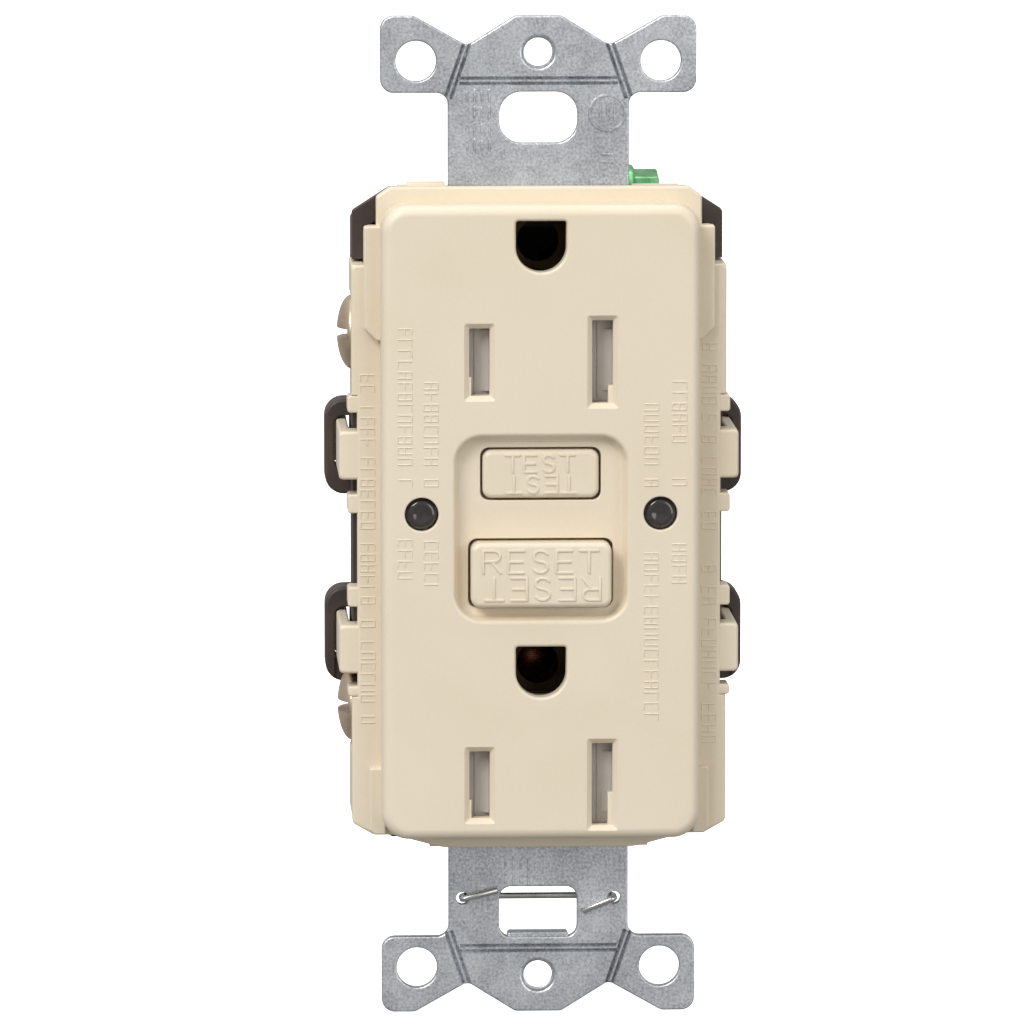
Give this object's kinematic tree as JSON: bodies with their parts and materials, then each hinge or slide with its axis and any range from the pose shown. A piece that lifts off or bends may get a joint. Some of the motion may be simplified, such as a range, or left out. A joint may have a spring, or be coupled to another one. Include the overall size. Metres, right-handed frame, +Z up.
{
  "type": "gfci outlet",
  "caption": "Duplex receptacle with rectangular face, test and reset buttons, tamper shutters, metal mounting strap and side screw terminals.",
  "frame": {"origin": "middle of the mounting-screw pattern, on the rear face of the mounting strap", "axes": "+X right seen from the front, +Y into the wall box, +Z up"},
  "size_m": [0.045, 0.0332, 0.1044],
  "materials": {
    "almond_plastic": "light almond thermoplastic, satin",
    "brown_plastic": "dark brown thermoset, matte",
    "galvanised_steel": "hot-dip galvanised sheet, fine spangle",
    "spring_steel": "drawn spring wire",
    "smoke_lens": "dark smoked light pipe",
    "grey_nylon": "pale grey nylon",
    "cream_phenolic": "cream moulding compound",
    "brass": "stamped brass",
    "nickel_plate": "nickel-plated steel",
    "green_steel": "green dyed zinc plate",
    "copper": "beryllium copper or enamelled copper wire",
    "bright_steel": "bright zinc-plated steel",
    "board_laminate": "glass-epoxy laminate, green mask",
    "black_epoxy": "black moulded epoxy",
    "disc_coating": "blue conformal coating",
    "film_box": "yellow potted box",
    "capacitor_sleeve": "dark shrink sleeve",
    "resistor_body": "tan lacquer",
    "led_resin": "water-clear resin"
  },
  "bodies": {
    "device": {"front_cover": "almond_plastic", "rear_housing": "brown_plastic", "mounting_strap": "galvanised_steel", "self_grounding_clip": "spring_steel", "reset_spring": "spring_steel", "test_spring": "copper", "left_lens": "smoke_lens", "right_lens": "smoke_lens", "left_led": "led_resin", "right_led": "led_resin", "upper_shutter_tray": "cream_phenolic", "lower_shutter_tray": "cream_phenolic", "upper_shutter_spring": "spring_steel", "lower_shutter_spring": "spring_steel", "upper_ground_contact": "brass", "lower_ground_contact": "brass", "middle_carrier": "cream_phenolic", "hot_contact_strip": "brass", "neutral_contact_strip": "brass", "line_hot_terminal": "brass", "line_neutral_terminal": "brass", "hot_core_conductor": "copper", "neutral_core_conductor": "copper", "left_carriage_spring": "spring_steel", "right_carriage_spring": "spring_steel", "solenoid_frame": "bright_steel", "solenoid_bobbin": "grey_nylon", "solenoid_coil": "copper", "circuit_board": "board_laminate", "core_cup": "black_epoxy", "sensing_core": "film_box", "neutral_core": "disc_coating", "varistor": "disc_coating", "film_capacitor": "film_box", "electrolytic_capacitor": "capacitor_sleeve", "control_chip": "black_epoxy", "thyristor": "black_epoxy", "test_resistor": "resistor_body"},
    "test_push": {"test_button": "almond_plastic"},
    "reset_push": {"reset_button": "almond_plastic", "reset_pin": "bright_steel"},
    "upper_guard": {"upper_shutter": "grey_nylon"},
    "lower_guard": {"lower_shutter": "grey_nylon"},
    "carriage": {"contact_carriage": "black_epoxy", "hot_bridge_contact": "copper", "neutral_bridge_contact": "copper", "latch_spring": "spring_steel"},
    "latch": {"latch_plate": "bright_steel"},
    "plunger": {"solenoid_plunger": "bright_steel"},
    "green_screw": {"ground_screw": "green_steel"},
    "line_hot_clamp_body": {"line_hot_clamp": "brass"},
    "line_hot_screw_body": {"line_hot_screw": "brass"},
    "line_neutral_clamp_body": {"line_neutral_clamp": "nickel_plate"},
    "line_neutral_screw_body": {"line_neutral_screw": "nickel_plate"},
    "load_hot_clamp_body": {"load_hot_clamp": "brass"},
    "load_hot_screw_body": {"load_hot_screw": "brass"},
    "load_neutral_clamp_body": {"load_neutral_clamp": "nickel_plate"},
    "load_neutral_screw_body": {"load_neutral_screw": "nickel_plate"}
  },
  "joints": [
    {"name": "test_button_slide", "type": "slide", "parent": "device", "child": "test_push", "axis": [0, 1, 0], "range_m": [0, 0.001], "stiffness_N_per_m": 400, "springref_m": -0.001, "deforming": ["test_spring"]},
    {"name": "reset_button_slide", "type": "slide", "parent": "device", "child": "reset_push", "axis": [0, 1, 0], "range_m": [0, 0.0025], "stiffness_N_per_m": 600, "springref_m": -0.002, "deforming": ["reset_spring"]},
    {"name": "upper_shutter_slide", "type": "slide", "parent": "device", "child": "upper_guard", "axis": [1, 0, 0], "range_m": [0, 0.0029], "stiffness_N_per_m": 60, "springref_m": -0.001, "deforming": ["upper_shutter_spring"]},
    {"name": "lower_shutter_slide", "type": "slide", "parent": "device", "child": "lower_guard", "axis": [1, 0, 0], "range_m": [0, 0.0029], "stiffness_N_per_m": 60, "springref_m": -0.001, "deforming": ["lower_shutter_spring"]},
    {"name": "carriage_slide", "type": "slide", "parent": "device", "child": "carriage", "axis": [0, -1, 0], "range_m": [0, 0.0009], "stiffness_N_per_m": 400, "springref_m": -0.001, "deforming": ["left_carriage_spring", "right_carriage_spring"]},
    {"name": "plunger_slide", "type": "slide", "parent": "device", "child": "plunger", "axis": [0, 0, 1], "range_m": [0, 0.0015], "stiffness_N_per_m": 100, "springref_m": -0.001},
    {"name": "latch_slide", "type": "slide", "parent": "carriage", "child": "latch", "axis": [0, 0, 1], "range_m": [0, 0.0015], "stiffness_N_per_m": 100, "springref_m": -0.001, "deforming": ["latch_spring"]},
    {"name": "ground_screw_turn", "type": "hinge", "parent": "device", "child": "green_screw", "pos_m": [0.0096, 0.007, 0.0322], "axis": [1, 0, 0], "range_deg": [0, 1080]},
    {"name": "line_hot_clamp_slide", "type": "slide", "parent": "device", "child": "line_hot_clamp_body", "axis": [1, 0, 0], "range_m": [0, 0.00238]},
    {"name": "line_hot_screw_turn", "type": "hinge", "parent": "line_hot_clamp_body", "child": "line_hot_screw_body", "pos_m": [-0.018, 0.0055, 0.0188], "axis": [1, 0, 0], "range_deg": [0, 1080]},
    {"name": "line_neutral_clamp_slide", "type": "slide", "parent": "device", "child": "line_neutral_clamp_body", "axis": [1, 0, 0], "range_m": [0, 0.00238]},
    {"name": "line_neutral_screw_turn", "type": "hinge", "parent": "line_neutral_clamp_body", "child": "line_neutral_screw_body", "pos_m": [0.0156, 0.0055, 0.0188], "axis": [1, 0, 0], "range_deg": [0, 1080]},
    {"name": "load_hot_clamp_slide", "type": "slide", "parent": "device", "child": "load_hot_clamp_body", "axis": [1, 0, 0], "range_m": [0, 0.00238]},
    {"name": "load_hot_screw_turn", "type": "hinge", "parent": "load_hot_clamp_body", "child": "load_hot_screw_body", "pos_m": [-0.018, 0.0055, -0.0204], "axis": [1, 0, 0], "range_deg": [0, 1080]},
    {"name": "load_neutral_clamp_slide", "type": "slide", "parent": "device", "child": "load_neutral_clamp_body", "axis": [1, 0, 0], "range_m": [0, 0.00238]},
    {"name": "load_neutral_screw_turn", "type": "hinge", "parent": "load_neutral_clamp_body", "child": "load_neutral_screw_body", "pos_m": [0.0156, 0.0055, -0.0204], "axis": [1, 0, 0], "range_deg": [0, 1080]}
  ],
  "couplings": [
    {"joint": "latch_slide", "follows": "plunger_slide", "ratio": 1},
    {"joint": "line_hot_screw_turn", "follows": "line_hot_clamp_slide", "rad_per_m": 7920},
    {"joint": "line_neutral_screw_turn", "follows": "line_neutral_clamp_slide", "rad_per_m": 7920},
    {"joint": "load_hot_screw_turn", "follows": "load_hot_clamp_slide", "rad_per_m": 7920},
    {"joint": "load_neutral_screw_turn", "follows": "load_neutral_clamp_slide", "rad_per_m": 7920}
  ]
}
